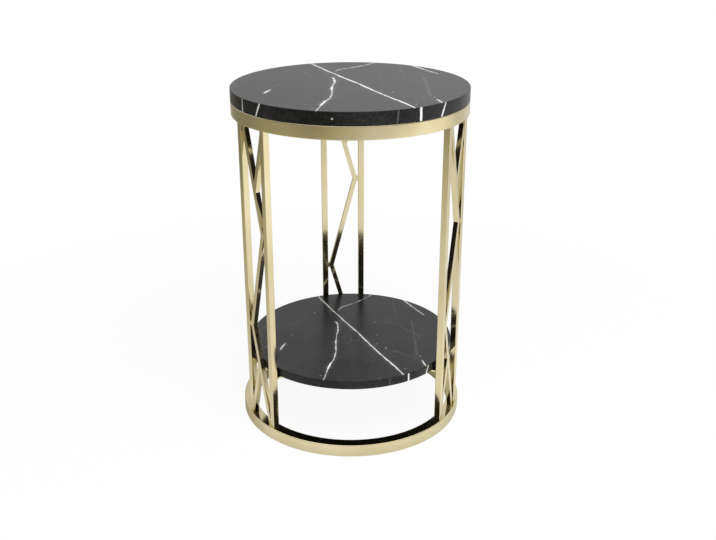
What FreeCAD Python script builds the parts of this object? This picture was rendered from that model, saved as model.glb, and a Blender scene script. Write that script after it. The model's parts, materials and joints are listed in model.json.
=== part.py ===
import FreeCAD, Part
import os
import Sketcher

# A round nightstand: two marble boards in a cage of gold tube.
# Two rolled tube rings are joined by three flat panels, 120 degrees apart. Each panel is a pair of
# square tube legs with a zigzag of square bars between them. The origin is on the floor under the
# middle of the table, +Z is up, and -Y is the open front.

# Driving sizes, in millimetres
SIZES = {
    # Overall form
    "overall_height": 600.0,
    "top_diameter": 400.0,
    # Marble boards
    "top_thickness": 22.0,
    "shelf_thickness": 15.0,
    "shelf_level": 138.0,  # floor to the shelf's upper face
    "shelf_clearance": 0.75,  # least gap between the shelf's rim and the panels
    "board_edge": 1.2,  # rounding of the boards' edges
    # Rolled tube rings
    "ring_width": 20.0,
    "ring_height": 22.0,
    "ring_wall": 1.2,
    "ring_corner": 1.0,
    # Square tube legs
    "leg_size": 11.0,
    "leg_wall": 1.0,
    "leg_corner": 0.8,
    "leg_gap": 60.0,  # clear width between the two legs of a panel
    "leg_inset": 2.2,  # from the rings' outer face to the legs' outer corners
    "vent_diameter": 5.0,  # drain holes in the rings, inside the ends of the legs
    # Zigzag bars
    "bar_size": 8.5,
    "tip_flat": 0.9,  # how much of each sharp tip is ground away where it is welded
    "stud_length": 3.0,  # from a bend of the zigzag to its leg
    "stud_height": 8.5,
    # Welded lugs
    "lug_thickness": 3.0,
    "top_lug_width": 18.0,
    "top_lug_reach": 28.0,
    "shelf_lug_width": 16.0,
    "shelf_lug_reach": 24.0,
    # Button-head screws and their inserts
    "screw_diameter": 5.0,
    "screw_head_diameter": 9.5,
    "screw_head_height": 2.75,
    "screw_head_dome": 1.6,
    "socket_width": 3.0,  # across the flats of the hexagon
    "socket_depth": 1.6,
    "lug_hole_clearance": 0.3,  # on the radius
    "thread_clearance": 0.05,  # on the radius
    "insert_wall": 1.3,
    "insert_length": 8.0,
    "insert_clearance": 0.1,  # bond line round and above an insert
    "screw_end_gap": 1.0,  # from a screw's tip to the end of its insert
    # Press-in foot glides
    "glide_height": 1.5,
    "glide_diameter": 14.0,
    "glide_edge": 0.6,
    "glide_stem_diameter": 6.0,
    "glide_stem_length": 8.0,
    "glide_clearance": 0.1,  # on the stem's radius
}

PANEL_COUNT = 3
GLIDE_COUNT = 6
BARS_IN_ZIGZAG = 3
FULL_TURN = 360.0
TOUCH = 0.001
STEP_FOLDER = "parts"

# Sketcher's own numbers for the sketch origin and for the ends and centre of a curve
ROOT = -1
START = 1
END = 2
CENTRE = 3

doc = FreeCAD.newDocument("nightstand")

sheet = doc.addObject("Spreadsheet::Sheet", "Sizes")
for row, (alias, number) in enumerate(SIZES.items(), start=1):
    sheet.set(f"A{row}", alias)
    sheet.set(f"B{row}", str(number))
    sheet.setAlias(f"B{row}", alias)
doc.recompute()

# Sizes that follow from the driving ones, as expressions on the sheet
RADIUS = "(Sizes.top_diameter / 2)"
RING_INNER = f"({RADIUS} - Sizes.ring_width)"
RING_MIDDLE = f"({RADIUS} - Sizes.ring_width / 2)"

BASE_RING_UNDER = "Sizes.glide_height"
LEG_FOOT = "(Sizes.glide_height + Sizes.ring_height)"
TOP_UNDER = "(Sizes.overall_height - Sizes.top_thickness)"
TOP_RING_UNDER = f"({TOP_UNDER} - Sizes.ring_height)"
SHELF_UNDER = "(Sizes.shelf_level - Sizes.shelf_thickness)"
LEG_LENGTH = f"({TOP_RING_UNDER} - {LEG_FOOT})"

LEG_X = "((Sizes.leg_gap + Sizes.leg_size) / 2)"
LEG_OUTER_X = "(Sizes.leg_gap / 2 + Sizes.leg_size)"
LEG_OUTER_Y = f"sqrt(({RADIUS} - Sizes.leg_inset) ^ 2 - {LEG_OUTER_X} ^ 2)"
PANEL_Y = f"({LEG_OUTER_Y} - Sizes.leg_size / 2)"
LEG_INNER_Y = f"({PANEL_Y} - Sizes.leg_size / 2)"
LEG_BORE = "(Sizes.leg_size - 2 * Sizes.leg_wall)"

# The shelf stays clear of the bars' inner faces and of the legs' inner corners
BAR_INNER_Y = f"({PANEL_Y} - Sizes.bar_size / 2)"
LEG_INNER_CORNER = f"sqrt({LEG_INNER_Y} ^ 2 + (Sizes.leg_gap / 2) ^ 2)"
SHELF_RADIUS = f"(min({BAR_INNER_Y}; {LEG_INNER_CORNER}) - Sizes.shelf_clearance)"

# Each zigzag bar rises by RISE while it crosses the gap between the legs. The zigzag starts and ends
# in the corners of the panel, and its two bends stop short of the legs, where studs bridge the gap.
RISE = f"({LEG_LENGTH} / {BARS_IN_ZIGZAG})"
CORNER_X = "(Sizes.leg_gap / 2)"
BEND_X = "(Sizes.leg_gap / 2 - Sizes.stud_length)"

TOP_SCREW_Y = f"({RING_INNER} - Sizes.top_lug_reach + Sizes.top_lug_width / 2)"
SHELF_SCREW_Y = f"({LEG_INNER_Y} - Sizes.shelf_lug_reach + Sizes.shelf_lug_width / 2)"
LUG_HOLE_RADIUS = "(Sizes.screw_diameter / 2 + Sizes.lug_hole_clearance)"
INSERT_BORE_RADIUS = "(Sizes.screw_diameter / 2 + Sizes.thread_clearance)"
INSERT_RADIUS = f"({INSERT_BORE_RADIUS} + Sizes.insert_wall)"
INSERT_HOLE_RADIUS = f"({INSERT_RADIUS} + Sizes.insert_clearance)"
INSERT_HOLE_DEPTH = "(Sizes.insert_length + Sizes.insert_clearance)"
SCREW_LENGTH = "(Sizes.lug_thickness + Sizes.insert_length - Sizes.screw_end_gap)"
GLIDE_HOLE_RADIUS = "(Sizes.glide_stem_diameter / 2 + Sizes.glide_clearance)"

finished = []


def value(expression):
    """The number that an expression on the sheet gives now."""
    return float(sheet.evalExpression(expression))


def minus(expression):
    return f"-({expression})"


def new_body(label, lift="0", turn=0.0):
    """An empty body named for its piece, turned about the table's axis and lifted to its place."""
    body = doc.addObject("PartDesign::Body", label)
    body.Label = label
    body.Placement.Rotation = FreeCAD.Rotation(FreeCAD.Vector(0, 0, 1), turn)
    body.setExpression("Placement.Base.z", lift)
    finished.append(body)
    return body


def origin_item(body, role):
    return next(item for item in body.Origin.OriginFeatures if item.Role == role)


def new_sketch(body, name, plane="XY_Plane", offset=None):
    """A sketch on one of the body's own origin planes, moved along its normal by an expression."""
    sketch = body.newObject("Sketcher::SketchObject", name)
    sketch.AttachmentSupport = (origin_item(body, plane), [""])
    sketch.MapMode = "FlatFace"
    if offset:
        sketch.setExpression("AttachmentOffset.Base.z", offset)
    return sketch


def bind(sketch, constraint, expression):
    number = sketch.addConstraint(constraint)
    sketch.setExpression(f"Constraints[{number}]", expression)


def pin(sketch, curve, end, x, y):
    """Hold one point of a curve at x and y from the sketch's origin."""
    for kind, expression in (("DistanceX", x), ("DistanceY", y)):
        bind(sketch, Sketcher.Constraint(kind, ROOT, START, curve, end, value(expression)), expression)


def outline(sketch, points):
    """A closed outline of straight lines through points, each a pair of expressions."""
    corners = [FreeCAD.Vector(value(x), value(y), 0) for x, y in points]
    first = sketch.GeometryCount
    for start, end in zip(corners, corners[1:] + corners[:1]):
        sketch.addGeometry(Part.LineSegment(start, end))
    for index, (x, y) in enumerate(points):
        line = first + index
        following = first + (index + 1) % len(points)
        sketch.addConstraint(Sketcher.Constraint("Coincident", line, END, following, START))
        pin(sketch, line, START, x, y)


def circle(sketch, radius, x="0", y="0"):
    centre = FreeCAD.Vector(value(x), value(y), 0)
    curve = sketch.addGeometry(Part.Circle(centre, FreeCAD.Vector(0, 0, 1), value(radius)))
    pin(sketch, curve, CENTRE, x, y)
    bind(sketch, Sketcher.Constraint("Radius", curve, value(radius)), radius)


def rectangle(sketch, left, right, low, high):
    outline(sketch, [(left, low), (right, low), (right, high), (left, high)])


def pad(body, sketch, length, both_sides=False):
    feature = body.newObject("PartDesign::Pad", f"{body.Name}_pad")
    feature.Profile = sketch
    feature.setExpression("Length", length)
    if both_sides:
        feature.SideType = "Symmetric"
    doc.recompute()
    return feature


def cut_feature(body, kind, name, sketch, setup):
    """A pocket or groove, which has to take material away."""
    before = body.Shape.Volume
    feature = body.newObject(kind, f"{body.Name}_{name}")
    feature.Profile = sketch
    setup(feature)
    doc.recompute()
    if not body.Shape.Volume < before:
        raise RuntimeError(f"{feature.Name} takes nothing away")
    return feature


def pocket(body, name, sketch, depth, upwards=True):
    """A pocket of some depth from its sketch, cut up along +Z or down."""

    def setup(feature):
        feature.setExpression("Length", depth)
        feature.Reversed = upwards

    return cut_feature(body, "PartDesign::Pocket", name, sketch, setup)


def revolve(body, sketch):
    feature = body.newObject("PartDesign::Revolution", f"{body.Name}_revolution")
    feature.Profile = sketch
    feature.ReferenceAxis = (sketch, ["V_Axis"])
    feature.Angle = FULL_TURN
    doc.recompute()
    return feature


def groove(body, name, sketch):
    def setup(feature):
        feature.ReferenceAxis = (sketch, ["V_Axis"])
        feature.Angle = FULL_TURN

    return cut_feature(body, "PartDesign::Groove", name, sketch, setup)


def fillet(body, base, radius, wanted):
    """Round the edges of a feature that pass a test."""
    names = [f"Edge{number}" for number, edge in enumerate(base.Shape.Edges, start=1) if wanted(edge)]
    feature = body.newObject("PartDesign::Fillet", f"{body.Name}_fillet")
    feature.Base = (base, names)
    feature.setExpression("Radius", radius)
    doc.recompute()
    return feature


def round_table_axis(body, features, count):
    """Repeat features evenly round the table's axis."""
    pattern = body.newObject("PartDesign::PolarPattern", f"{body.Name}_{features[-1].Name}_pattern")
    pattern.Originals = features
    pattern.Axis = (origin_item(body, "Z_Axis"), [""])
    pattern.Angle = FULL_TURN
    pattern.Occurrences = count
    body.Tip = pattern
    doc.recompute()
    return pattern


def is_circle(edge):
    return isinstance(edge.Curve, Part.Circle)


def is_circle_at(edge, centre):
    return is_circle(edge) and edge.Curve.Center.distanceToPoint(centre) < TOUCH


def is_upright(edge):
    along = edge.tangentAt(edge.FirstParameter)
    return isinstance(edge.Curve, Part.Line) and abs(along.z) > 1 - TOUCH


def panel_turn(index):
    return FULL_TURN / PANEL_COUNT * index


def make_board(label, under, radius, thickness, screw_places):
    """A round board with eased edges and blind holes in its underside for the inserts."""
    body = new_body(label, lift=under)
    disc = new_sketch(body, f"{label}_disc")
    circle(disc, radius)
    slab = pad(body, disc, thickness)
    fillet(body, slab, "Sizes.board_edge", is_circle)
    holes = new_sketch(body, f"{label}_holes")
    for x, y in screw_places:
        circle(holes, INSERT_HOLE_RADIUS, x, y)
    round_table_axis(body, [pocket(body, "pocket", holes, INSERT_HOLE_DEPTH)], PANEL_COUNT)


def make_ring(label, under):
    """A rolled tube ring. Returns its body with the tube's hollow already cut."""
    body = new_body(label, lift=under)
    section = new_sketch(body, f"{label}_section", plane="XZ_Plane")
    rectangle(section, RING_INNER, RADIUS, "0", "Sizes.ring_height")
    ring = revolve(body, section)
    fillet(body, ring, "Sizes.ring_corner", is_circle)
    hollow = new_sketch(body, f"{label}_hollow", plane="XZ_Plane")
    rectangle(
        hollow,
        f"{RING_INNER} + Sizes.ring_wall",
        f"{RADIUS} - Sizes.ring_wall",
        "Sizes.ring_wall",
        "Sizes.ring_height - Sizes.ring_wall",
    )
    groove(body, "groove", hollow)
    return body


def drill_ring(body, name, face, places, radius, count, upwards):
    """Drill through one wall of a ring, at places repeated round the table's axis."""
    sketch = new_sketch(body, f"{body.Name}_{name}s", offset=face)
    for x, y in places:
        circle(sketch, radius, x, y)
    hole = pocket(body, name, sketch, "Sizes.ring_wall", upwards)
    round_table_axis(body, [hole], count)


def make_rings():
    leg_ends = [(LEG_X, PANEL_Y), (minus(LEG_X), PANEL_Y)]
    glides = [(RING_MIDDLE, "0")]
    vent_radius = "(Sizes.vent_diameter / 2)"
    top = make_ring("top_ring", TOP_RING_UNDER)
    drill_ring(top, "vent", "0", leg_ends, vent_radius, PANEL_COUNT, upwards=True)
    base = make_ring("base_ring", BASE_RING_UNDER)
    drill_ring(base, "vent", "Sizes.ring_height", leg_ends, vent_radius, PANEL_COUNT, upwards=False)
    drill_ring(base, "glide_hole", "0", glides, GLIDE_HOLE_RADIUS, GLIDE_COUNT, upwards=True)


def square(sketch, side, x, y):
    half = f"{side} / 2"
    rectangle(sketch, f"{x} - {half}", f"{x} + {half}", f"{y} - {half}", f"{y} + {half}")


def make_leg(label, turn, x):
    """A square tube leg between the rings, open at both ends."""
    body = new_body(label, lift=LEG_FOOT, turn=turn)
    outside = new_sketch(body, f"{label}_outside")
    square(outside, "Sizes.leg_size", x, PANEL_Y)
    post = pad(body, outside, LEG_LENGTH)
    fillet(body, post, "Sizes.leg_corner", is_upright)
    bore = new_sketch(body, f"{label}_bore")
    square(bore, LEG_BORE, x, PANEL_Y)
    pocket(body, "pocket", bore, LEG_LENGTH)


def make_bar(label, turn, lift, points):
    """A square bar of the zigzag, from its outline in the plane of the panel."""
    body = new_body(label, lift=lift, turn=turn)
    face = new_sketch(body, f"{label}_face", plane="XZ_Plane", offset=minus(PANEL_Y))
    outline(face, points)
    pad(body, face, "Sizes.bar_size", both_sides=True)


def mirrored(points):
    return [(minus(x), z) for x, z in points]


def half_turned(points):
    """The same outline turned end for end about the middle of a bar's rise."""
    return [(minus(x), f"{RISE} - ({z})") for x, z in points]


def level_cut(high_x, low_x):
    """The width of the level cut at the ends of a bar, which falls from high_x to minus low_x."""
    span = f"({high_x} + {low_x} + 2 * Sizes.tip_flat)"
    slant = f"sqrt({RISE} ^ 2 + {span} ^ 2 - Sizes.bar_size ^ 2)"
    across = f"({RISE} * {slant} - Sizes.bar_size * {span})"
    return f"(Sizes.bar_size * {across} / ({RISE} ^ 2 - Sizes.bar_size ^ 2))"


def lean(high_x, low_x):
    """How far a bar moves sideways for each millimetre that it falls."""
    return f"(({high_x} + {low_x} + 2 * Sizes.tip_flat - {level_cut(high_x, low_x)}) / {RISE})"


def falling_bar(high_x, low_x):
    """A bar that falls from a flat tip at high_x to a flat tip at minus low_x."""
    tip_height = f"(Sizes.tip_flat / {lean(high_x, low_x)})"
    inward = f"(Sizes.tip_flat - {level_cut(high_x, low_x)})"
    return [
        (high_x, RISE),
        (f"{high_x} + {inward}", RISE),
        (minus(low_x), tip_height),
        (minus(low_x), "0"),
        (minus(f"{low_x} + {inward}"), "0"),
        (high_x, f"{RISE} - {tip_height}"),
    ]


def falling_brace(high_x, low_x):
    """The brace that starts under the other top corner and leans against the middle of such a bar."""
    cut = level_cut(high_x, low_x)
    slope = lean(high_x, low_x)
    reach = f"(2 * {high_x} + Sizes.tip_flat)"
    return [
        (minus(high_x), RISE),
        (f"(Sizes.tip_flat - {cut}) / 2", f"{RISE} - ({reach} - {cut}) / (2 * {slope})"),
        (f"Sizes.tip_flat / 2 - {cut}", f"{RISE} - {reach} / (2 * {slope})"),
        (minus(high_x), f"{RISE} - {cut} / {slope}"),
    ]


UPPER_BAR = falling_bar(CORNER_X, BEND_X)
MIDDLE_BAR = mirrored(falling_bar(BEND_X, BEND_X))
LOWER_BAR = half_turned(UPPER_BAR)
TOP_BRACE = falling_brace(CORNER_X, BEND_X)
BOTTOM_BRACE = half_turned(TOP_BRACE)


def make_studs(label, turn, side):
    """The two short studs that join the bends of a zigzag to the legs, the upper one at minus side."""
    body = new_body(label, lift=LEG_FOOT, turn=turn)
    face = new_sketch(body, f"{label}_face", plane="XZ_Plane", offset=minus(PANEL_Y))
    for sign, level in ((-side, f"2 * {RISE}"), (side, RISE)):
        ends = (f"{sign} * {BEND_X}", f"{sign} * {CORNER_X}")
        rectangle(face, *ends, f"{level} - Sizes.stud_height / 2", f"{level} + Sizes.stud_height / 2")
    pad(body, face, "Sizes.bar_size", both_sides=True)


def make_panel(name, turn, turned_round, legs):
    """Two legs with the zigzag between them. A panel that is turned round is seen from its back."""
    make_leg(f"{name}_leg_{legs[0]}", turn, LEG_X)
    make_leg(f"{name}_leg_{legs[1]}", turn, minus(LEG_X))
    hand = mirrored if turned_round else list
    middle = f"{LEG_FOOT} + {RISE}"
    upper = f"{LEG_FOOT} + 2 * {RISE}"
    make_bar(f"{name}_upper_bar", turn, upper, hand(UPPER_BAR))
    make_bar(f"{name}_middle_bar", turn, middle, hand(MIDDLE_BAR))
    make_bar(f"{name}_lower_bar", turn, LEG_FOOT, hand(LOWER_BAR))
    make_bar(f"{name}_top_brace", turn, upper, hand(TOP_BRACE))
    make_bar(f"{name}_bottom_brace", turn, LEG_FOOT, hand(BOTTOM_BRACE))
    make_studs(f"{name}_studs", turn, -1 if turned_round else 1)


def make_lug(label, turn, lift, width, x, screw_y, root_y):
    """A flat plate from its root to a round end, which has a screw hole. Returns its body."""
    body = new_body(label, lift=lift, turn=turn)
    plate = new_sketch(body, f"{label}_plate")
    rectangle(plate, f"{x} - {width} / 2", f"{x} + {width} / 2", screw_y, root_y)
    pad(body, plate, "Sizes.lug_thickness")
    tip = new_sketch(body, f"{label}_tip")
    circle(tip, f"{width} / 2", x, screw_y)
    pad(body, tip, "Sizes.lug_thickness")
    hole = new_sketch(body, f"{label}_hole")
    circle(hole, LUG_HOLE_RADIUS, x, screw_y)
    pocket(body, "drilling", hole, "Sizes.lug_thickness")
    return body


def make_top_lug(name, turn, lift):
    """A lug whose root is cut to the curve of the top ring's inner face, where it is welded."""
    lug = make_lug(f"{name}_top_lug", turn, lift, "Sizes.top_lug_width", "0", TOP_SCREW_Y, RADIUS)
    beyond_weld = new_sketch(lug, f"{lug.Name}_weld")
    circle(beyond_weld, RING_INNER)
    circle(beyond_weld, "Sizes.top_diameter")
    pocket(lug, "trim", beyond_weld, "Sizes.lug_thickness")


def make_lugs(name, turn, legs):
    make_top_lug(name, turn, f"{TOP_UNDER} - Sizes.lug_thickness")
    for leg, x in zip(legs, (LEG_X, minus(LEG_X))):
        label = f"{name}_shelf_lug_{leg}"
        lift = f"{SHELF_UNDER} - Sizes.lug_thickness"
        make_lug(label, turn, lift, "Sizes.shelf_lug_width", x, SHELF_SCREW_Y, LEG_INNER_Y)


def hexagon(sketch, across_flats, x, y):
    """A hexagon round x and y, with two of its corners level with y."""
    flat = f"({across_flats} / 2)"
    corner = f"({across_flats} / sqrt(3))"
    half_corner = f"({corner} / 2)"
    corners = [
        (corner, "0"),
        (half_corner, flat),
        (minus(half_corner), flat),
        (minus(corner), "0"),
        (minus(half_corner), minus(flat)),
        (half_corner, minus(flat)),
    ]
    outline(sketch, [(f"{x} + {across}", f"{y} + {along}") for across, along in corners])


def make_screws(label, board_under, places):
    """Button-head screws from below, through their lugs and into the inserts."""
    body = new_body(label, lift=f"{board_under} - Sizes.lug_thickness")
    head_under = minus("Sizes.screw_head_height")
    features = []
    for number, (x, y) in enumerate(places, start=1):
        head_face = new_sketch(body, f"{label}_head_{number}", offset=head_under)
        circle(head_face, "Sizes.screw_head_diameter / 2", x, y)
        head = pad(body, head_face, "Sizes.screw_head_height")
        rim = FreeCAD.Vector(value(x), value(y), value(head_under))
        dome = fillet(body, head, "Sizes.screw_head_dome", lambda edge: is_circle_at(edge, rim))
        shank_face = new_sketch(body, f"{label}_shank_{number}")
        circle(shank_face, "Sizes.screw_diameter / 2", x, y)
        shank = pad(body, shank_face, SCREW_LENGTH)
        recess = new_sketch(body, f"{label}_socket_{number}", offset=head_under)
        hexagon(recess, "Sizes.socket_width", x, y)
        socket = pocket(body, f"socket_cut_{number}", recess, "Sizes.socket_depth")
        features += [head, dome, shank, socket]
    round_table_axis(body, features, PANEL_COUNT)


def make_inserts(label, board_under, places):
    """Threaded sleeves bonded into the underside of a board."""
    body = new_body(label, lift=board_under)
    sleeve = new_sketch(body, f"{label}_sleeve")
    for x, y in places:
        circle(sleeve, INSERT_RADIUS, x, y)
        circle(sleeve, INSERT_BORE_RADIUS, x, y)
    round_table_axis(body, [pad(body, sleeve, "Sizes.insert_length")], PANEL_COUNT)


def make_glides():
    """Plastic glides that the base ring stands on, pressed into its underside."""
    body = new_body("foot_glides")
    foot = new_sketch(body, "foot_glides_foot")
    circle(foot, "Sizes.glide_diameter / 2", RING_MIDDLE)
    sole = pad(body, foot, "Sizes.glide_height")
    ground = FreeCAD.Vector(value(RING_MIDDLE), 0, 0)
    rounded = fillet(body, sole, "Sizes.glide_edge", lambda edge: is_circle_at(edge, ground))
    stem = new_sketch(body, "foot_glides_stem", offset="Sizes.glide_height")
    circle(stem, "Sizes.glide_stem_diameter / 2", RING_MIDDLE)
    spike = pad(body, stem, "Sizes.glide_stem_length")
    round_table_axis(body, [sole, rounded, spike], GLIDE_COUNT)


def check_model():
    """Stop if any object failed to compute or any finished piece is empty or not a valid solid."""
    for item in doc.Objects:
        if "Invalid" in item.State or "Error" in item.State:
            raise RuntimeError(f"{item.Name} failed: {item.State}")
    for body in finished:
        if body.Shape.isNull() or not body.Shape.isValid() or not body.Shape.Solids:
            raise RuntimeError(f"{body.Label} has no valid solid")


def main():
    top_places = [("0", TOP_SCREW_Y)]
    shelf_places = [(LEG_X, SHELF_SCREW_Y), (minus(LEG_X), SHELF_SCREW_Y)]
    make_board("top_board", TOP_UNDER, RADIUS, "Sizes.top_thickness", top_places)
    make_board("shelf_board", SHELF_UNDER, SHELF_RADIUS, "Sizes.shelf_thickness", shelf_places)
    make_rings()
    # Each panel's name, whether it is turned round, and its legs' places, the one at its own +X first
    panels = (
        ("rear", True, ("right", "left")),
        ("left", False, ("rear", "front")),
        ("right", False, ("front", "rear")),
    )
    for index, (name, turned_round, legs) in enumerate(panels):
        make_panel(name, panel_turn(index), turned_round, legs)
        make_lugs(name, panel_turn(index), legs)
    make_screws("top_screws", TOP_UNDER, top_places)
    make_screws("shelf_screws", SHELF_UNDER, shelf_places)
    make_inserts("top_inserts", TOP_UNDER, top_places)
    make_inserts("shelf_inserts", SHELF_UNDER, shelf_places)
    make_glides()
    doc.recompute()
    check_model()
    os.makedirs(STEP_FOLDER, exist_ok=True)
    for body in finished:
        body.Shape.exportStep(f"{STEP_FOLDER}/{body.Label}.step")
        print(f"{body.Label}: {len(body.Shape.Solids)} solids, {body.Shape.Volume:.0f} mm3")


main()
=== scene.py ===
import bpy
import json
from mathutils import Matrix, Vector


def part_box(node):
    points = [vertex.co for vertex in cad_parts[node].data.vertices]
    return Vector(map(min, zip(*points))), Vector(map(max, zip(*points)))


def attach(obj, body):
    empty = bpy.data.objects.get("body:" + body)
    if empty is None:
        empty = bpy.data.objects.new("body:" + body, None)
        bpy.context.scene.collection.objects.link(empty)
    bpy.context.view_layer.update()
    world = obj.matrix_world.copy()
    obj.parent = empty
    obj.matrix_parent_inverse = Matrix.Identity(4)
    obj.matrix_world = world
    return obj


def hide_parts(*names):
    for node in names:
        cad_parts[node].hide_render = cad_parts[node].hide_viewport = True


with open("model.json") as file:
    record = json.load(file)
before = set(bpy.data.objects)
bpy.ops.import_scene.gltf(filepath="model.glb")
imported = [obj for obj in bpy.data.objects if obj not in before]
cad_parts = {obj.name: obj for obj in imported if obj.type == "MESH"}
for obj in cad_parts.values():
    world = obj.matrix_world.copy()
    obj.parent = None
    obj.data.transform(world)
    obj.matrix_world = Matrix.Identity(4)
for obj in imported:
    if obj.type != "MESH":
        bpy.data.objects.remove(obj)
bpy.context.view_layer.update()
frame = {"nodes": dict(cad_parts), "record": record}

import json
import math

import bmesh
import bpy
from bpy.props import FloatProperty, FloatVectorProperty, IntProperty, PointerProperty
from mathutils import Matrix, Vector

bl_info = {
    "name": "Round nightstand",
    "version": (1, 0, 0),
    "blender": (4, 5, 0),
    "location": "3D View > Sidebar > Nightstand",
    "description": "Marble boards, gold tube frame and studio for a round nightstand",
    "category": "Object",
}

BODY = "root"
PANELS = ("rear", "left", "right")
BOARDS = ("top_board", "shelf_board")
RINGS = ("top_ring", "base_ring")
BAR_NAMES = ("upper_bar", "middle_bar", "lower_bar", "top_brace", "bottom_brace", "studs")
SLOT_OF = {part["node"]: part["material_slot"] for part in frame["record"]["subparts"]}
PLATING = "Champagne gold plating"
BACKING = "Black resin backing"
WHITE = (1, 1, 1, 1)
# Millimetres in a metre
MM = 1000

# Edges that turn by more than this stay sharp, on the boards and rings and on the bars
ROUND_SHARP = math.radians(60)
BAR_SHARP = math.radians(40)
# Steps across a rounded edge of a board or ring, and of a bar
ROUND_EDGE_STEPS = 4
BAR_EDGE_STEPS = 3
# Triangles of a bar that turn by less than this are one flat face
FLAT_TURN = math.radians(1)
# An edge of a bar that is longer than this runs along it, in metres
LONG_EDGE = 0.03
# Points closer than this are one point, in metres
MERGE_GAP = 1e-6
# A face whose normal has a height below this looks straight down
LOOKS_DOWN = -0.99
# The round sheet of paper that the table stands on, in metres
FLOOR_RADIUS = 16
FLOOR_STEPS = 64
# The painted pool of light on the paper lies this far in front of the table's middle, in metres
POOL_AHEAD = 0.6
# Share of the paper's glow, with its painted light and shade, in what the metal sees of it
GLOW_SHARE = 0.7
# The camera's sensor in millimetres, and how far it sees in metres
SENSOR_WIDTH = 36.0
SIGHT = 60.0

# The slab is turned by this against the table's front, and its veins are given for a board of this radius
VEIN_TURN = math.radians(4.8)
VEIN_RADIUS = 183
# The veins of the slab, in millimetres: x to the right and y away from the front
# Each one is its width, strength and brokenness, and the points that it runs through from back to front
VEINS = (
    (2.8, 1.0, 0.1, ((-66, 170), (-30, 90), (23, -19), (42, -62), (74, -125), (90, -160))),
    (2.9, 1.0, 0.5, ((-31, 51), (-24, 20), (-27, -10), (-28, -78), (-37, -125), (-47, -177))),
    (2.7, 0.9, 0.6, ((42, 177), (25, 155), (2, 132), (-17, 117), (-25, 97))),
    (2.8, 0.85, 0.2, ((92, 172), (141, 77))),
    (2.8, 0.8, 0.0, ((-119, -39), (-127, -67))),
    (2.6, 0.8, 0.0, ((124, -105), (130, -128))),
    (4.5, 0.045, 0.3, ((114, 55), (116, 27), (117, -70), (119, -90))),
    (4.0, 0.03, 0.3, ((83, 148), (84, 120), (86, 75))),
)
# Single flecks: x and y, radius and strength
FLECKS = (
    (46, 48, 2.2, 0.25),
    (48, -7, 2.0, 0.3),
    (47, -43, 2.0, 0.3),
    (63, -60, 2.2, 0.45),
    (93, -138, 2.0, 0.4),
    (122, -92, 2.0, 0.4),
    (-71, 91, 2.4, 0.35),
    (-109, -5, 2.4, 0.25),
    (-52, -161, 1.8, 0.3),
)
# Where veins come out at the rim: degrees from the front, positive to the right, width, lean and strength
RIM_VEINS = (
    (-57.7, 2.4, 0.0, 0.8),
    (-45.4, 2.8, 0.42, 0.9),
    (21.0, 2.0, 0.1, 0.07),
    (32.5, 3.4, 0.0, 0.95),
    (46.2, 2.8, 0.42, 0.85),
    (98.0, 1.8, -0.5, 0.4),
    (146.9, 2.4, -0.35, 0.75),
    (166.6, 2.2, 0.3, 0.65),
    (-158.8, 2.8, 0.2, 0.95),
    (-112.0, 2.0, 0.55, 0.5),
)
# Flecks on each board's rim: degrees from the front, radius and strength
RIM_FLECKS = {"top_board": ((-7.7, 2.0, 0.6),), "shelf_board": ()}
# The veins of the top are cut a little wider than those of the shelf
VEIN_WEIGHTS = {"top_board": 1.2, "shelf_board": 1.0}


def linear(hex_colour):
    """An sRGB hex colour as linear red, green and blue."""
    shares = [int(hex_colour[start:start + 2], 16) / 255 for start in (1, 3, 5)]
    return [share / 12.92 if share <= 0.04045 else ((share + 0.055) / 1.055) ** 2.4 for share in shares]


class NightstandSizes(bpy.types.PropertyGroup):
    """Sizes of the finish that the frame doesn't give"""

    board_edge: FloatProperty(
        name="Board edge",
        description="Rounding of the polished edges of the marble boards",
        default=0.0012,
        precision=4,
        unit="LENGTH",
    )
    ring_corner: FloatProperty(
        name="Ring corner",
        description="Outside corner radius of the rolled tube rings",
        default=0.0015,
        precision=4,
        unit="LENGTH",
    )
    bar_edge: FloatProperty(
        name="Bar edge",
        description="Rounding of the long edges of the zigzag bars",
        default=0.0005,
        precision=4,
        unit="LENGTH",
    )
    round_steps: IntProperty(
        name="Steps round",
        description="Number of steps that draw a full circle of a board or ring",
        default=256,
        min=64,
    )


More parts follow.
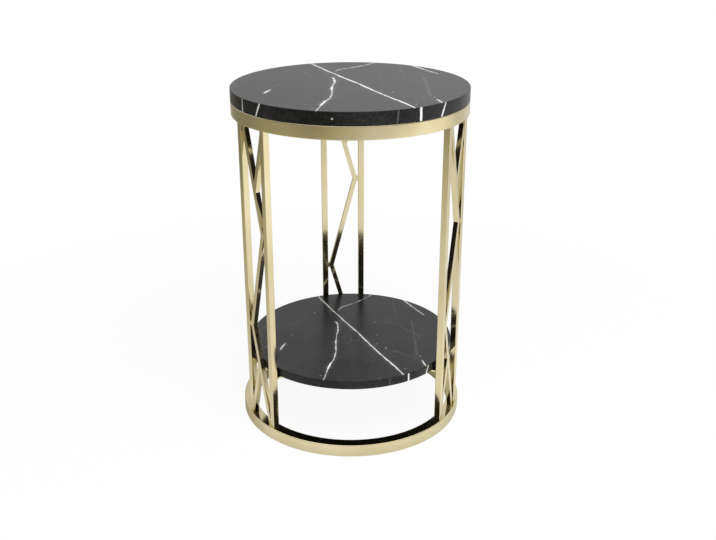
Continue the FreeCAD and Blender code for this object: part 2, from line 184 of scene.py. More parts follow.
class NightstandColours(bpy.types.PropertyGroup):
    """Colours of the finishes and the studio"""

    gold: FloatVectorProperty(
        name="Gold",
        description="Champagne gold of the plated frame",
        default=linear("#E1D6B0"),
        subtype="COLOR",
    )
    gold_deep: FloatVectorProperty(
        name="Deep gold",
        description="Where the plating is a little thicker and warmer",
        default=linear("#D6C99F"),
        subtype="COLOR",
    )
    marble: FloatVectorProperty(
        name="Marble",
        description="Black ground of the marble",
        default=linear("#060607"),
        subtype="COLOR",
    )
    marble_cloud: FloatVectorProperty(
        name="Marble clouds",
        description="Charcoal clouds in the black ground",
        default=linear("#2A2A2C"),
        subtype="COLOR",
    )
    vein: FloatVectorProperty(
        name="Veins",
        description="White calcite of the veins",
        default=linear("#F5F5F3"),
        subtype="COLOR",
    )
    resin: FloatVectorProperty(
        name="Resin",
        description="Black resin on the undersides of the boards",
        default=linear("#050505"),
        subtype="COLOR",
    )
    resin_thin: FloatVectorProperty(
        name="Thin resin",
        description="Where the resin is spread thin",
        default=linear("#111111"),
        subtype="COLOR",
    )
    zinc: FloatVectorProperty(
        name="Zinc",
        description="Bright zinc plating of the screws",
        default=linear("#C2C6CA"),
        subtype="COLOR",
    )
    brass: FloatVectorProperty(
        name="Brass",
        description="Turned brass of the inserts",
        default=linear("#C6A262"),
        subtype="COLOR",
    )
    glide: FloatVectorProperty(
        name="Glides",
        description="Natural polyethylene of the foot glides",
        default=linear("#DAD8D0"),
        subtype="COLOR",
    )
    floor: FloatVectorProperty(
        name="Floor",
        description="Pale floor of the studio",
        default=linear("#F2F2F0"),
        subtype="COLOR",
    )
    # Painted light: the warmer tint of the floor's painted glow in the metal, where that glow is dimmer
    painted_dim_tint: FloatVectorProperty(
        name="Dim floor",
        description="Tint of the floor in the metal where its light falls off",
        default=linear("#FFF8C8"),
        subtype="COLOR",
    )


class NightstandStudio(bpy.types.PropertyGroup):
    """Camera and light"""

    eye_distance: FloatProperty(
        name="Eye distance",
        description="Level distance from the table's axis to the camera",
        default=1.6108,
        unit="LENGTH",
    )
    eye_height: FloatProperty(
        name="Eye height",
        description="Height of the camera over the floor",
        default=0.9313,
        unit="LENGTH",
    )
    eye_side: FloatProperty(
        name="Eye side",
        description="Angle of the camera from the table's front, positive to the right",
        default=math.radians(-4.68),
        subtype="ANGLE",
    )
    eye_down: FloatProperty(
        name="Eye down",
        description="How far the camera looks down",
        default=math.radians(22.48),
        subtype="ANGLE",
    )
    eye_pan: FloatProperty(
        name="Eye pan",
        description="Turn of the camera away from the table's axis",
        default=math.radians(-0.46),
        subtype="ANGLE",
    )
    lens: FloatProperty(
        name="Lens",
        description="Focal length on a 36 mm wide sensor",
        default=48.74,
        unit="CAMERA",
    )
    key_place: FloatVectorProperty(
        name="Key light place",
        description="Where the middle of the soft box hangs",
        default=(0.5, -1.3, 2.3),
        subtype="TRANSLATION",
        unit="LENGTH",
    )
    key_width: FloatProperty(
        name="Key light width",
        description="Width of the soft box",
        default=2.0,
        unit="LENGTH",
    )
    key_depth: FloatProperty(
        name="Key light depth",
        description="Depth of the soft box",
        default=1.6,
        unit="LENGTH",
    )
    key_power: FloatProperty(
        name="Key light",
        description="Power of the soft box that hangs over the right front",
        default=64.0,
        unit="POWER",
    )
    room_level: FloatProperty(
        name="Room level",
        description="Level of the even light from the room",
        default=0.35,
    )


def fill(tree, node, inputs):
    """Links a node's inputs to other nodes, or sets them to plain values."""
    for socket, value in inputs.items():
        if isinstance(value, bpy.types.Node):
            value = value.outputs[0]
        if isinstance(value, bpy.types.NodeSocket):
            tree.links.new(value, node.inputs[socket])
        else:
            node.inputs[socket].default_value = value


def add(tree, kind, inputs=None, **settings):
    """Adds a shader node, sets it and links or fills its inputs."""
    node = tree.nodes.new("ShaderNode" + kind)
    for name, value in settings.items():
        setattr(node, name, value)
    fill(tree, node, inputs or {})
    return node


def start_material(name, inputs):
    """A new material whose Principled shader has its even values set, with its tree and shader."""
    material = bpy.data.materials.new(name)
    material.use_nodes = True
    tree = material.node_tree
    shader = tree.nodes["Principled BSDF"]
    fill(tree, shader, inputs)
    return material, tree, shader


def in_millimetres(tree):
    """A piece's own coordinates in millimetres."""
    place = add(tree, "TexCoord")
    return add(tree, "Mapping", {"Vector": place.outputs["Object"], "Scale": (MM, MM, MM)})


def strongest(tree, patterns):
    """The strongest of several patterns at each place."""
    most = 0.0
    for pattern in patterns:
        most = add(tree, "Math", {0: pattern, 1: most}, operation="MAXIMUM")
    return most


def vein_route(tree, y, points):
    """The x of a vein at each y, on a smooth curve through its points."""
    far = points[0][1]
    near = points[-1][1]
    low = min(point[0] for point in points)
    high = max(point[0] for point in points)
    along = add(tree, "MapRange", {"Value": y, "From Min": near, "From Max": far})
    route = add(tree, "FloatCurve", {"Value": along})
    curve = route.mapping.curves[0]
    stops = [
        ((back - near) / (far - near), (right - low) / (high - low)) for right, back in reversed(points)
    ]
    curve.points[0].location = stops[0]
    curve.points[1].location = stops[-1]
    for stop in stops[1:-1]:
        curve.points.new(*stop)
    route.mapping.update()
    return add(tree, "Math", {0: route, 1: high - low, 2: low}, operation="MULTIPLY_ADD")


def vein_strength(tree, x, y, spread, breaks, vein):
    """How much of one vein shows: a sharp core and a faint halo along its route."""
    width, strength, broken, points = vein
    far = points[0][1]
    near = points[-1][1]
    middle = vein_route(tree, y, points)
    offset = add(tree, "Math", {0: x, 1: middle}, operation="SUBTRACT")
    gap = add(tree, "Math", {0: offset}, operation="ABSOLUTE")
    share = add(tree, "Math", {0: gap, 1: spread}, operation="DIVIDE")
    core = add(
        tree,
        "MapRange",
        {"Value": share, "From Min": 0.28 * width, "From Max": 0.6 * width, "To Min": strength, "To Max": 0},
        interpolation_type="SMOOTHSTEP",
    )
    halo = add(
        tree,
        "MapRange",
        {"Value": share, "From Min": 0, "From Max": 3 * width, "To Min": 0.05 * strength, "To Max": 0},
        interpolation_type="SMOOTHSTEP",
    )
    both = add(tree, "Math", {0: core, 1: halo}, operation="MAXIMUM")
    # Each end fades out over seven millimetres
    start = add(tree, "MapRange", {"Value": y, "From Min": far + 2, "From Max": far - 5})
    end = add(tree, "MapRange", {"Value": y, "From Min": near - 2, "From Max": near + 5})
    ends = add(tree, "Math", {0: start, 1: end}, operation="MULTIPLY")
    whole = add(tree, "Math", {0: breaks, 1: -broken, 2: 1.0}, operation="MULTIPLY_ADD")
    kept = add(tree, "Math", {0: ends, 1: whole}, operation="MULTIPLY")
    return add(tree, "Math", {0: both, 1: kept}, operation="MULTIPLY")


def rim_vein_strength(tree, slab, spread, rim_vein):
    """How much of a vein shows on the rim, as a stroke that runs up it."""
    angle, width, lean, strength = rim_vein
    turn = math.radians(angle)
    along = (math.cos(turn), math.sin(turn), -lean)
    outwards = (math.sin(turn), -math.cos(turn), 0)
    offset = add(tree, "VectorMath", {0: slab, 1: along}, operation="DOT_PRODUCT")
    gap = add(tree, "Math", {0: offset.outputs["Value"]}, operation="ABSOLUTE")
    share = add(tree, "Math", {0: gap, 1: spread}, operation="DIVIDE")
    core = add(
        tree,
        "MapRange",
        {"Value": share, "From Min": 0.2 * width, "From Max": 0.62 * width, "To Min": strength, "To Max": 0},
        interpolation_type="SMOOTHSTEP",
    )
    # It shows on its own side of the board only
    depth = add(tree, "VectorMath", {0: slab, 1: outwards}, operation="DOT_PRODUCT")
    near = add(tree, "Math", {0: depth.outputs["Value"], 1: 0.8 * VEIN_RADIUS}, operation="GREATER_THAN")
    return add(tree, "Math", {0: core, 1: near}, operation="MULTIPLY")


def fleck_strength(tree, slab, spot, size, strength):
    """How much of one fleck shows, as a soft dot."""
    gap = add(tree, "VectorMath", {0: slab, 1: spot}, operation="DISTANCE")
    return add(
        tree,
        "MapRange",
        {
            "Value": gap.outputs["Value"],
            "From Min": 0.3 * size,
            "From Max": size,
            "To Min": strength,
            "To Max": 0,
        },
    )


def drawn_veins(tree, slab, node, on_face):
    """How much of the listed veins and flecks shows on a board's faces and rim."""
    weight = VEIN_WEIGHTS[node]
    # The veins wander by a millimetre or two over 40 mm, and swell and thin out over 20 mm
    sway = add(tree, "TexNoise", {"Vector": slab, "Scale": 1 / 40, "Detail": 4.0, "Roughness": 0.6})
    swell = add(tree, "TexNoise", {"Vector": slab, "Scale": 1 / 20, "Detail": 2.0})
    spread = add(
        tree,
        "MapRange",
        {"Value": swell, "From Min": 0.3, "From Max": 0.7, "To Min": 0.55 * weight, "To Max": 1.35 * weight},
    )
    breaks = add(tree, "MapRange", {"Value": swell, "From Min": 0.56, "From Max": 0.4})
    axes = add(tree, "SeparateXYZ", {"Vector": slab})
    wander = add(tree, "Math", {0: sway, 1: 6.0, 2: -3.0}, operation="MULTIPLY_ADD")
    across = add(tree, "Math", {0: axes.outputs["X"], 1: wander}, operation="ADD")
    level_slab = add(tree, "CombineXYZ", {"X": across, "Y": axes.outputs["Y"]})
    face = [vein_strength(tree, across, axes.outputs["Y"], spread, breaks, vein) for vein in VEINS]
    for x, y, size, strength in FLECKS:
        face.append(fleck_strength(tree, level_slab, (x, y, 0), size, strength))
    rim = [rim_vein_strength(tree, slab, spread, rim_vein) for rim_vein in RIM_VEINS]
    for angle, size, strength in RIM_FLECKS[node]:
        turn = math.radians(angle)
        spot = (VEIN_RADIUS * math.sin(turn), -VEIN_RADIUS * math.cos(turn), 0)
        rim.append(fleck_strength(tree, slab, spot, size, strength))
    return add(tree, "Mix", {0: on_face, 2: strongest(tree, rim), 3: strongest(tree, face)})


def hairline_cracks(tree, slab, on_face):
    """How much of the hairline cracks shows, in patches of a board's faces."""
    # Cracks a third of a millimetre wide, drawn three times as wide so that they show
    # They part cells of 79 mm and are bent by up to 13 mm either way
    bend = add(tree, "TexNoise", {"Vector": slab, "Scale": 1 / 30, "Detail": 3.0})
    crack_place = add(
        tree, "VectorMath", {0: bend.outputs["Color"], 1: (26, 26, 26), 2: slab}, operation="MULTIPLY_ADD"
    )
    cracks = add(tree, "TexVoronoi", {"Vector": crack_place, "Scale": 1 / 79}, feature="DISTANCE_TO_EDGE")
    lines = add(
        tree, "MapRange", {"Value": cracks, "From Min": 0.002, "From Max": 0.012, "To Min": 1, "To Max": 0}
    )
    # They come and go over 70 mm
    patch = add(tree, "TexNoise", {"Vector": slab, "Scale": 1 / 70, "Detail": 1.0})
    share = add(
        tree, "MapRange", {"Value": patch, "From Min": 0.5, "From Max": 0.68, "To Min": 0, "To Max": 0.07}
    )
    level_share = add(tree, "Math", {0: share, 1: on_face}, operation="MULTIPLY")
    return add(tree, "Math", {0: lines, 1: level_share}, operation="MULTIPLY")


def scattered_flecks(tree, slab):
    """How much of the small flecks of calcite shows, each two millimetres across."""
    # About one cell in seven of a 26 mm scatter holds one
    scatter = add(tree, "TexVoronoi", {"Vector": slab, "Scale": 1 / 26})
    dot = add(
        tree, "MapRange", {"Value": scatter, "From Min": 0.02, "From Max": 0.06, "To Min": 1, "To Max": 0}
    )
    chance = add(tree, "SeparateXYZ", {"Vector": scatter.outputs["Color"]})
    some = add(
        tree, "MapRange", {"Value": chance, "From Min": 0.85, "From Max": 0.98, "To Min": 0, "To Max": 0.25}
    )
    return add(tree, "Math", {0: dot, 1: some}, operation="MULTIPLY")


def polished_marble(name, node, colours):
    """Black marble, sawn and polished: a deep soft mirror with white calcite veins and charcoal clouds."""
    material, tree, shader = start_material(name, {"IOR": 1.36})
    low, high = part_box(node)
    shrink = VEIN_RADIUS / high.x
    place = add(tree, "TexCoord")
    slab = add(
        tree,
        "Mapping",
        {
            "Vector": place.outputs["Object"],
            "Location": (0, 0, -MM * (low.z + high.z) / 2),
            "Rotation": (0, 0, VEIN_TURN),
            "Scale": (shrink, shrink, MM),
        },
    )
    facing = add(tree, "SeparateXYZ", {"Vector": place.outputs["Normal"]})
    flat = add(tree, "Math", {0: facing.outputs["Z"]}, operation="ABSOLUTE")
    on_face = add(tree, "MapRange", {"Value": flat, "From Min": 0.45, "From Max": 0.75})
    veins = drawn_veins(tree, slab, node, on_face)
    cracks = hairline_cracks(tree, slab, on_face)
    white = strongest(tree, (veins, cracks, scattered_flecks(tree, slab)))

    # Clouds about 80 mm across, mottled by grains of calcite of about 5 mm
    clouds = add(
        tree,
        "TexNoise",
        {"Vector": slab, "Scale": 1 / 80, "Detail": 6.0, "Roughness": 0.62, "Distortion": 0.6},
    )
    mottle = add(tree, "TexNoise", {"Vector": slab, "Scale": 1 / 5, "Detail": 3.0, "Roughness": 0.7})
    blotches = add(tree, "Math", {0: clouds, 1: mottle}, operation="ADD")
    cloudy = add(tree, "MapRange", {"Value": blotches, "From Min": 0.85, "From Max": 1.35})
    ground = add(
        tree, "Mix", {0: cloudy, 6: (*colours.marble, 1), 7: (*colours.marble_cloud, 1)}, data_type="RGBA"
    )
    colour = add(tree, "Mix", {0: white, 6: ground.outputs[2], 7: (*colours.vein, 1)}, data_type="RGBA")

    # The slab takes a high polish, the soft veins take it less well and lie a little lower
    polish = add(tree, "MapRange", {"Value": clouds, "To Min": 0.24, "To Max": 0.34})
    roughness = add(tree, "Math", {0: white, 1: 0.1, 2: polish}, operation="MULTIPLY_ADD")
    bump = add(tree, "Bump", {"Strength": 0.3, "Distance": 0.000025, "Height": white}, invert=True)
    fill(tree, shader, {"Base Color": colour.outputs[2], "Roughness": roughness, "Normal": bump})
    return material


def resin_backing(colours):
    """Black resin brushed on the back of the slab: dead matt and nearly black, in an uneven coat."""
    material, tree, shader = start_material(BACKING, {"Specular IOR Level": 0.1})
    resin = in_millimetres(tree)
    # The coat is thicker and thinner in blotches of 3 mm
    coat = add(tree, "TexNoise", {"Vector": resin, "Scale": 1 / 3, "Detail": 3.0})
    colour = add(
        tree, "Mix", {0: coat, 6: (*colours.resin, 1), 7: (*colours.resin_thin, 1)}, data_type="RGBA"
    )
    roughness = add(tree, "MapRange", {"Value": coat, "To Min": 0.7, "To Max": 0.9})
    bump = add(tree, "Bump", {"Strength": 0.3, "Distance": 0.0002, "Height": coat})
    fill(tree, shader, {"Base Color": colour.outputs[2], "Roughness": roughness, "Normal": bump})
    return material


def champagne_plating(colours):
    """Steel tube, buffed and plated champagne gold: a bright warm mirror with soft edges to what it shows."""
    material, tree, shader = start_material(PLATING, {"Metallic": 1.0})
    metal = in_millimetres(tree)
    # The plating's tone drifts over a hand's width
    drift = add(tree, "TexNoise", {"Vector": metal, "Scale": 1 / 90, "Detail": 3.0})
    tone = add(tree, "MapRange", {"Value": drift, "From Min": 0.35, "From Max": 0.65})
    colour = add(
        tree, "Mix", {0: tone, 6: (*colours.gold, 1), 7: (*colours.gold_deep, 1)}, data_type="RGBA"
    )
    # Buffing leaves a grain of a tenth of a millimetre, drawn at 3 mm so that it shows
    buffing = add(tree, "TexNoise", {"Vector": metal, "Scale": 1 / 3, "Detail": 4.0, "Roughness": 0.65})
    roughness = add(
        tree, "MapRange", {"Value": buffing, "From Min": 0.3, "From Max": 0.7, "To Min": 0.07, "To Max": 0.13}
    )
    # Rolled tube is never quite flat: waves a few hundredths of a millimetre deep over 40 mm
    waves = add(tree, "TexNoise", {"Vector": metal, "Scale": 1 / 40, "Detail": 1.0})
    bump = add(tree, "Bump", {"Strength": 0.3, "Distance": 0.0002, "Height": waves})
    fill(tree, shader, {"Base Color": colour.outputs[2], "Roughness": roughness, "Normal": bump})
    return material


def zinc_plating(colours):
    """Pressed steel, bright zinc plated: cool and slightly cloudy, with a soft shine."""
    material, tree, shader = start_material("Zinc plated steel", {"Metallic": 1.0})
    metal = in_millimetres(tree)
    # Crystals of the zinc, about half a millimetre across
    crystals = add(tree, "TexVoronoi", {"Vector": metal, "Scale": 2.0})
    tint = add(tree, "SeparateXYZ", {"Vector": crystals.outputs["Color"]})
    dull = [0.75 * channel for channel in colours.zinc]
    colour = add(tree, "Mix", {0: tint, 6: (*colours.zinc, 1), 7: (*dull, 1)}, data_type="RGBA")
    roughness = add(tree, "MapRange", {"Value": tint, "To Min": 0.24, "To Max": 0.38})
    fill(tree, shader, {"Base Color": colour.outputs[2], "Roughness": roughness})
    return material


def turned_brass(colours):
    """Free-cutting brass, turned: yellow metal with fine tool rings and a dull film."""
    material, tree, shader = start_material("Turned brass", {"Metallic": 1.0})
    metal = in_millimetres(tree)
    # The film is uneven over 4 mm
    film = add(tree, "TexNoise", {"Vector": metal, "Scale": 1 / 4, "Detail": 4.0})
    dull = [0.7 * channel for channel in colours.brass]
    colour = add(tree, "Mix", {0: film, 6: (*colours.brass, 1), 7: (*dull, 1)}, data_type="RGBA")
    # Tool rings every 0.4 mm along the insert
    rings = add(tree, "TexWave", {"Vector": metal, "Scale": 0.8}, bands_direction="Z")
    bump = add(tree, "Bump", {"Strength": 0.3, "Distance": 0.00003, "Height": rings})
    roughness = add(tree, "MapRange", {"Value": film, "To Min": 0.2, "To Max": 0.4})
    fill(tree, shader, {"Base Color": colour.outputs[2], "Roughness": roughness, "Normal": bump})
    return material


def moulded_polyethylene(colours):
    """Natural polyethylene, moulded: milky, waxy and a little dusty."""
    material, tree, shader = start_material(
        "Moulded polyethylene", {"IOR": 1.51, "Subsurface Weight": 0.15, "Subsurface Scale": 0.002}
    )
    plastic = in_millimetres(tree)
    # Dust lies in blotches of 3 mm
    dust = add(tree, "TexNoise", {"Vector": plastic, "Scale": 1 / 3, "Detail": 3.0})
    dusty = [0.8 * channel for channel in colours.glide]
    colour = add(tree, "Mix", {0: dust, 6: (*colours.glide, 1), 7: (*dusty, 1)}, data_type="RGBA")
    roughness = add(tree, "MapRange", {"Value": dust, "To Min": 0.4, "To Max": 0.6})
    # The mould's spark-eroded grain, a fifth of a millimetre
    grain = add(tree, "TexNoise", {"Vector": plastic, "Scale": 5.0})
    bump = add(tree, "Bump", {"Strength": 0.2, "Distance": 0.00005, "Height": grain})
    fill(tree, shader, {"Base Color": colour.outputs[2], "Roughness": roughness, "Normal": bump})
    return material


def who_looks(tree):
    """Whether the camera sees a place, and whether a mirror or glass does."""
    ray = add(tree, "LightPath")
    mirrored = add(
        tree,
        "Math",
        {0: ray.outputs["Is Glossy Ray"], 1: ray.outputs["Is Transmission Ray"]},
        operation="MAXIMUM",
    )
    return ray.outputs["Is Camera Ray"], mirrored


def painted_paper_light(tree, place, away):
    """Painted light and shade of the paper as the metal sees it, at each place and each distance from the
    middle.
    """
    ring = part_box("base_ring")[1].x
    axes = add(tree, "SeparateXYZ", {"Vector": place.outputs["Object"]})
    # Painted light: it falls off to the left, away from the key light, and far before and behind the pool of
    # light
    fall = add(
        tree,
        "MapRange",
        {"Value": axes.outputs["X"], "From Min": -1.6, "From Max": 1.6, "To Min": 0.33, "To Max": 1.4},
    )
    along = add(tree, "Math", {0: axes.outputs["Y"], 1: POOL_AHEAD}, operation="ADD")
    reach = add(tree, "Math", {0: along}, operation="ABSOLUTE")
    fade = add(
        tree, "MapRange", {"Value": reach, "From Min": 0.5, "From Max": 1.5, "To Min": 1.0, "To Max": 0.63}
    )
    # Painted shade of the base ring lies close round its sides and back
    close = add(
        tree,
        "MapRange",
        {"Value": away, "From Min": ring + 0.01, "From Max": ring + 0.07, "To Min": 1, "To Max": 0},
    )
    rearward = add(
        tree,
        "MapRange",
        {"Value": axes.outputs["Y"], "From Min": -0.13, "From Max": 0.0, "To Min": 0, "To Max": -0.6},
    )
    shade = add(tree, "Math", {0: close, 1: rearward, 2: 1.0}, operation="MULTIPLY_ADD")
    # Painted contact shade: it is brightest a few centimetres from the ring, and darker right at it and
    # further out
    painted_contact_shade = add(
        tree,
        "MapRange",
        {"Value": away, "From Min": ring, "From Max": ring + 0.036, "To Min": 0.86, "To Max": 1.25},
    )
    spill = add(
        tree,
        "MapRange",
        {"Value": away, "From Min": ring + 0.08, "From Max": ring + 0.4, "To Min": 1.0, "To Max": 0.8},
    )
    # The painted pool of light, times its painted shade
    painted_light = fall
    for share in (fade, shade, painted_contact_shade, spill):
        painted_light = add(tree, "Math", {0: painted_light, 1: share}, operation="MULTIPLY")
    return painted_light


def studio_floor(colours):
    """Seamless white paper: matt, nearly white to the eye with its shadow, and a painted pool of light and
    shade in the metal.
    """
    material, tree, shader = start_material(
        "Seamless paper", {"Base Color": (*colours.floor, 1), "Roughness": 0.9, "Specular IOR Level": 0.1}
    )
    camera, mirrored = who_looks(tree)
    place = add(tree, "TexCoord")
    away = add(tree, "VectorMath", {0: place.outputs["Object"]}, operation="LENGTH").outputs["Value"]
    white = add(
        tree,
        "MapRange",
        {"Value": away, "From Min": 0.4, "From Max": 1.6, "To Min": 0.93, "To Max": 1.0},
        interpolation_type="SMOOTHSTEP",
    )
    seen = add(tree, "Math", {0: camera, 1: white}, operation="MULTIPLY")
    share = add(tree, "Math", {0: mirrored, 1: GLOW_SHARE, 2: seen}, operation="MULTIPLY_ADD")
    # The camera sees the even white backdrop, and the metal sees the glow's painted light and shade
    strength = add(tree, "Mix", {0: mirrored, 2: 1.0, 3: painted_paper_light(tree, place, away)})
    # Where its painted light falls off it is also painted warmer, which deepens the gold there
    painted_dim = add(tree, "MapRange", {"Value": strength, "From Min": 0.75, "From Max": 0.35})
    tint = add(tree, "Mix", {0: painted_dim, 6: WHITE, 7: (*colours.painted_dim_tint, 1)}, data_type="RGBA")
    backdrop_and_painted_glow = add(tree, "Emission", {"Color": tint.outputs[2], "Strength": strength})
    mixed = add(tree, "MixShader", {0: share, 1: shader, 2: backdrop_and_painted_glow})
    fill(tree, tree.nodes["Material Output"], {"Surface": mixed})
    return material


def kept_material(name, make, *given):
    """The material of that name, made the first time that it is asked for."""
    return bpy.data.materials.get(name) or make(*given)


def add_piece(node, shape, material, sharp_angle):
    """Turns a bmesh into a smooth piece in place of a CAD node."""
    mesh = bpy.data.meshes.new(node + "_look")
    shape.to_mesh(mesh)
    shape.free()
    mesh.materials.append(material)
    mesh.shade_smooth()
    mesh.set_sharp_from_angle(angle=sharp_angle)
    piece = bpy.data.objects.new(mesh.name, mesh)
    bpy.context.scene.collection.objects.link(piece)
    # Large faces rule the shading, so flat faces stay flat up to their rounded edges
    even = piece.modifiers.new("Even shading", "WEIGHTED_NORMAL")
    even.keep_sharp = True
    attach(piece, BODY)
    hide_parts(node)
    return piece


def finish_node(node, material):
    """Gives a CAD node that keeps its shape its material."""
    mesh = frame["nodes"][node].data
    mesh.materials.clear()
    mesh.materials.append(material)


def board_shape(node, edge, steps):
    """A round slab with rounded edges, in the place of a CAD board."""
    low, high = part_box(node)
    shape = bmesh.new()
    bmesh.ops.create_cone(
        shape,
        cap_ends=True,
        segments=steps,
        radius1=high.x,
        radius2=high.x,
        depth=high.z - low.z,
        matrix=Matrix.Translation((0, 0, (low.z + high.z) / 2)),
    )
    rims = [rim for rim in shape.edges if abs(rim.verts[0].co.z - rim.verts[1].co.z) < edge]
    bmesh.ops.bevel(
        shape,
        geom=rims,
        offset=edge,
        offset_type="OFFSET",
        affect="EDGES",
        segments=ROUND_EDGE_STEPS,
        profile=0.5,
        material=-1,
    )
    return shape


def ring_shape(node, corner, steps):
    """A rolled rectangular tube with rounded corners, in the place of a CAD ring."""
    low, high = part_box(node)
    inner = min(vertex.co.xy.length for vertex in frame["nodes"][node].data.vertices)
    shape = bmesh.new()
    corners = ((inner, low.z), (high.x, low.z), (high.x, high.z), (inner, high.z))
    section = [shape.verts.new((x, 0, z)) for x, z in corners]
    shape.faces.new(section)
    bmesh.ops.bevel(
        shape,
        geom=section,
        offset=corner,
        offset_type="OFFSET",
        affect="VERTICES",
        segments=ROUND_EDGE_STEPS,
        profile=0.5,
        material=-1,
    )
    bmesh.ops.delete(shape, geom=shape.faces[:], context="FACES_ONLY")
    bmesh.ops.spin(
        shape,
        geom=shape.edges[:],
        cent=(0, 0, 0),
        axis=(0, 0, 1),
        angle=math.tau,
        steps=steps,
        use_merge=True,
    )
    bmesh.ops.remove_doubles(shape, verts=shape.verts[:], dist=MERGE_GAP)
    bmesh.ops.recalc_face_normals(shape, faces=shape.faces[:])
    return shape


def bar_shape(node, edge):
    """A copy of a CAD bar, its triangles joined into flat faces and its long edges rounded."""
    shape = bmesh.new()
    shape.from_mesh(frame["nodes"][node].data)
    bmesh.ops.remove_doubles(shape, verts=shape.verts[:], dist=MERGE_GAP)
    bmesh.ops.dissolve_limit(
        shape,
        angle_limit=FLAT_TURN,
        verts=shape.verts[:],
        edges=shape.edges[:],
        use_dissolve_boundaries=False,
    )
    # The studs are too short to have a long edge
    long_edges = [side for side in shape.edges if side.calc_length() > LONG_EDGE]
    if long_edges:
        bmesh.ops.bevel(
            shape,
            geom=long_edges,
            offset=edge,
            offset_type="OFFSET",
            affect="EDGES",
            segments=BAR_EDGE_STEPS,
            profile=0.5,
            material=-1,
        )
    return shape


class NIGHTSTAND_OT_boards(bpy.types.Operator):
    """Adds the marble top and shelf"""

    bl_idname = "nightstand.boards"
    bl_label = "Marble boards"

    def execute(self, context):
        sizes = context.scene.nightstand_sizes
        colours = context.scene.nightstand_colours
        for node in BOARDS:
            name = "Polished black marble, " + node.split("_")[0]
            material = kept_material(name, polished_marble, name, node, colours)
            shape = board_shape(node, sizes.board_edge, sizes.round_steps)
            piece = add_piece(node, shape, material, ROUND_SHARP)
            piece.data.materials.append(kept_material(BACKING, resin_backing, colours))
            for face in piece.data.polygons:
                if face.normal.z < LOOKS_DOWN:
                    face.material_index = 1
        return {"FINISHED"}


class NIGHTSTAND_OT_rings(bpy.types.Operator):
    """Adds the rolled tube rings under the top and on the floor"""

    bl_idname = "nightstand.rings"
    bl_label = "Tube rings"

    def execute(self, context):
        sizes = context.scene.nightstand_sizes
        gold = kept_material(PLATING, champagne_plating, context.scene.nightstand_colours)
        for node in RINGS:
            shape = ring_shape(node, sizes.ring_corner, sizes.round_steps)
            add_piece(node, shape, gold, ROUND_SHARP)
        return {"FINISHED"}


class NIGHTSTAND_OT_legs(bpy.types.Operator):
    """Finishes the six square tube legs"""

    bl_idname = "nightstand.legs"
    bl_label = "Legs"

    def execute(self, context):
        gold = kept_material(PLATING, champagne_plating, context.scene.nightstand_colours)
        for node in SLOT_OF:
            if "_leg_" in node:
                finish_node(node, gold)
        return {"FINISHED"}


class NIGHTSTAND_OT_zigzags(bpy.types.Operator):
    """Adds the zigzag bars, their braces and the weld studs"""

    bl_idname = "nightstand.zigzags"
    bl_label = "Zigzag bars"

    def execute(self, context):
        sizes = context.scene.nightstand_sizes
        gold = kept_material(PLATING, champagne_plating, context.scene.nightstand_colours)
        for panel in PANELS:
            for name in BAR_NAMES:
                node = f"{panel}_{name}"
                add_piece(node, bar_shape(node, sizes.bar_edge), gold, BAR_SHARP)
        return {"FINISHED"}


class NIGHTSTAND_OT_fixings(bpy.types.Operator):
    """Finishes the lugs, screws, inserts and foot glides"""

    bl_idname = "nightstand.fixings"
    bl_label = "Fixings"

    def execute(self, context):
        colours = context.scene.nightstand_colours
        gold = kept_material(PLATING, champagne_plating, colours)
        zinc = zinc_plating(colours)
        brass = turned_brass(colours)
        plastic = moulded_polyethylene(colours)
        for node in SLOT_OF:
            if node.endswith("_lug") or "_lug_" in node:
                finish_node(node, gold)
            elif node.endswith("_screws"):
                finish_node(node, zinc)
            elif node.endswith("_inserts"):
                finish_node(node, brass)
            elif node == "foot_glides":
                finish_node(node, plastic)
        return {"FINISHED"}


def add_floor(scene):
    """A wide round sheet of paper under the table."""
    paper = bpy.data.meshes.new("floor")
    shape = bmesh.new()
    bmesh.ops.create_circle(shape, cap_ends=True, radius=FLOOR_RADIUS, segments=FLOOR_STEPS)
    bmesh.ops.recalc_face_normals(shape, faces=shape.faces[:])
    shape.to_mesh(paper)
    shape.free()
    paper.materials.append(studio_floor(scene.nightstand_colours))
    floor = bpy.data.objects.new("floor", paper)
    scene.collection.objects.link(floor)


def add_key_light(scene, studio):
    """A wide soft box that looks at the shelf."""
    lamp = bpy.data.lights.new("Key light", "AREA")
    lamp.shape = "RECTANGLE"
    lamp.size = studio.key_width
    lamp.size_y = studio.key_depth
    lamp.energy = studio.key_power
    holder = bpy.data.objects.new("Key light", lamp)
    holder.location = studio.key_place
    # Its cloth is left out of the mirrors, where the room's white ceiling stands for it
    holder.visible_glossy = False
    aim = Vector((0, 0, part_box("shelf_board")[1].z)) - holder.location
    holder.rotation_euler = aim.to_track_quat("-Z", "Y").to_euler()
    scene.collection.objects.link(holder)


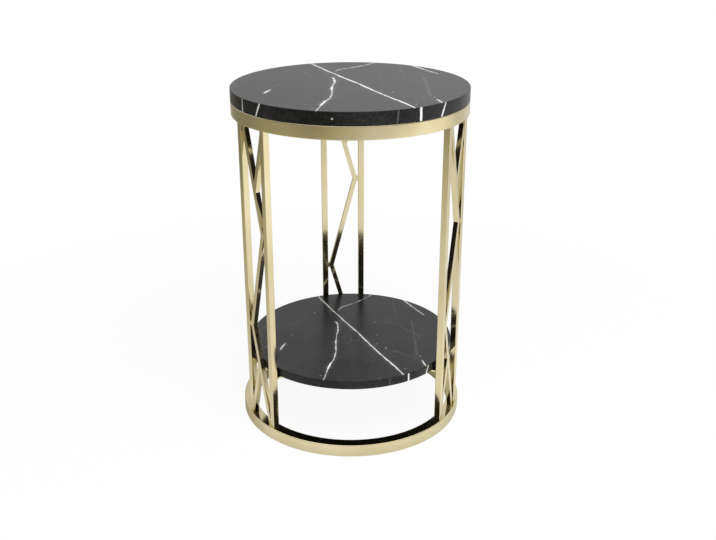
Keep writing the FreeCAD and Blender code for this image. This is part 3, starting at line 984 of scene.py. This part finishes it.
def room_in_metal(tree):
    """How bright the room looks in the metal, in each direction."""
    place = add(tree, "TexCoord")
    axes = add(tree, "SeparateXYZ", {"Vector": place.outputs["Generated"]})
    # Its white walls are brighter higher up, and a little brighter on the right
    rise = add(
        tree,
        "MapRange",
        {"Value": axes.outputs["Z"], "From Min": 0, "From Max": 0.3, "To Min": 0.45, "To Max": 0.76},
    )
    side = add(
        tree,
        "MapRange",
        {"Value": axes.outputs["X"], "From Min": -0.1, "From Max": 0.3, "To Min": 0.96, "To Max": 1.2},
    )
    walls = add(tree, "Math", {0: rise, 1: side}, operation="MULTIPLY")
    # Black drapes hang in front, over a low white wall
    behind = add(
        tree,
        "MapRange",
        {"Value": axes.outputs["Y"], "From Min": -0.2, "From Max": 0.3, "To Min": 0.02, "To Max": 1.0},
    )
    low = add(
        tree,
        "MapRange",
        {"Value": axes.outputs["Z"], "From Min": 0.12, "From Max": 0.2, "To Min": 0.9, "To Max": 0},
    )
    # Two black flags stand before the low wall, to the left and the right in front
    sideways = add(tree, "Math", {0: axes.outputs["X"]}, operation="ABSOLUTE")
    aside = add(
        tree,
        "MapRange",
        {"Value": sideways, "From Min": 0.35, "From Max": 0.7},
        interpolation_type="SMOOTHSTEP",
    )
    ahead = add(
        tree,
        "MapRange",
        {"Value": axes.outputs["Y"], "From Min": -0.2, "From Max": -0.5},
        interpolation_type="SMOOTHSTEP",
    )
    flag = add(tree, "Math", {0: aside, 1: ahead}, operation="MULTIPLY")
    bare = add(tree, "Math", {0: 1.0, 1: flag}, operation="SUBTRACT")
    low_wall = add(tree, "Math", {0: low, 1: bare}, operation="MULTIPLY")
    open_share = add(tree, "Math", {0: behind, 1: low_wall}, operation="MAXIMUM")
    room = add(tree, "Math", {0: walls, 1: open_share}, operation="MULTIPLY")
    # A white ceiling right overhead, which draws a bright line along the rounded edges
    ceiling = add(
        tree,
        "MapRange",
        {"Value": axes.outputs["Z"], "From Min": 0.62, "From Max": 0.8, "To Min": 0, "To Max": 2.2},
    )
    return add(tree, "Math", {0: room, 1: ceiling}, operation="MAXIMUM")


def light_room(scene, level):
    """Even light from all round, white to the eye, with a studio's walls and drapes in the metal."""
    world = bpy.data.worlds.new("Studio")
    world.use_nodes = True
    scene.world = world
    tree = world.node_tree
    camera, mirrored = who_looks(tree)
    shown = add(tree, "Mix", {0: mirrored, 2: level, 3: room_in_metal(tree)})
    strength = add(tree, "Mix", {0: camera, 2: shown, 3: 1.0})
    fill(tree, tree.nodes["Background"], {"Color": WHITE, "Strength": strength})


def add_camera(scene, studio):
    """A camera that looks down at the table from the front, a little to its left."""
    lens = bpy.data.cameras.new("Camera")
    lens.sensor_width = SENSOR_WIDTH
    lens.lens = studio.lens
    lens.clip_end = SIGHT
    camera = bpy.data.objects.new("Camera", lens)
    camera.location = (
        math.sin(studio.eye_side) * studio.eye_distance,
        -math.cos(studio.eye_side) * studio.eye_distance,
        studio.eye_height,
    )
    camera.rotation_euler = (math.pi / 2 - studio.eye_down, 0, studio.eye_side + studio.eye_pan)
    scene.collection.objects.link(camera)
    scene.camera = camera


class NIGHTSTAND_OT_stage(bpy.types.Operator):
    """Adds the floor, the soft light and the camera"""

    bl_idname = "nightstand.stage"
    bl_label = "Stage"

    def execute(self, context):
        scene = context.scene
        studio = scene.nightstand_studio
        add_floor(scene)
        add_key_light(scene, studio)
        light_room(scene, studio.room_level)
        add_camera(scene, studio)
        scene.view_settings.view_transform = "Standard"
        return {"FINISHED"}


OPERATORS = (
    NIGHTSTAND_OT_boards,
    NIGHTSTAND_OT_rings,
    NIGHTSTAND_OT_legs,
    NIGHTSTAND_OT_zigzags,
    NIGHTSTAND_OT_fixings,
    NIGHTSTAND_OT_stage,
)


class NIGHTSTAND_PT_build(bpy.types.Panel):
    """Lists the nightstand's sizes, colours, studio and operators"""

    bl_label = "Nightstand"
    bl_idname = "NIGHTSTAND_PT_build"
    bl_space_type = "VIEW_3D"
    bl_region_type = "UI"
    bl_category = "Nightstand"

    def draw(self, context):
        scene = context.scene
        for group in (scene.nightstand_sizes, scene.nightstand_colours, scene.nightstand_studio):
            box = self.layout.box()
            for name in group.__annotations__:
                box.prop(group, name)
        for operator in OPERATORS:
            self.layout.operator(operator.bl_idname)


CLASSES = (NightstandSizes, NightstandColours, NightstandStudio, *OPERATORS, NIGHTSTAND_PT_build)


def register():
    """Registers the classes and hangs the settings on the scene."""
    for each in CLASSES:
        bpy.utils.register_class(each)
    bpy.types.Scene.nightstand_sizes = PointerProperty(type=NightstandSizes)
    bpy.types.Scene.nightstand_colours = PointerProperty(type=NightstandColours)
    bpy.types.Scene.nightstand_studio = PointerProperty(type=NightstandStudio)


def unregister():
    """Takes the settings and the classes away again."""
    del bpy.types.Scene.nightstand_studio
    del bpy.types.Scene.nightstand_colours
    del bpy.types.Scene.nightstand_sizes
    for each in reversed(CLASSES):
        bpy.utils.unregister_class(each)


def main():
    """Builds the nightstand and its studio."""
    register()
    bpy.ops.nightstand.boards()
    bpy.ops.nightstand.rings()
    bpy.ops.nightstand.legs()
    bpy.ops.nightstand.zigzags()
    bpy.ops.nightstand.fixings()
    bpy.ops.nightstand.stage()


if __name__ == "__main__":
    main()
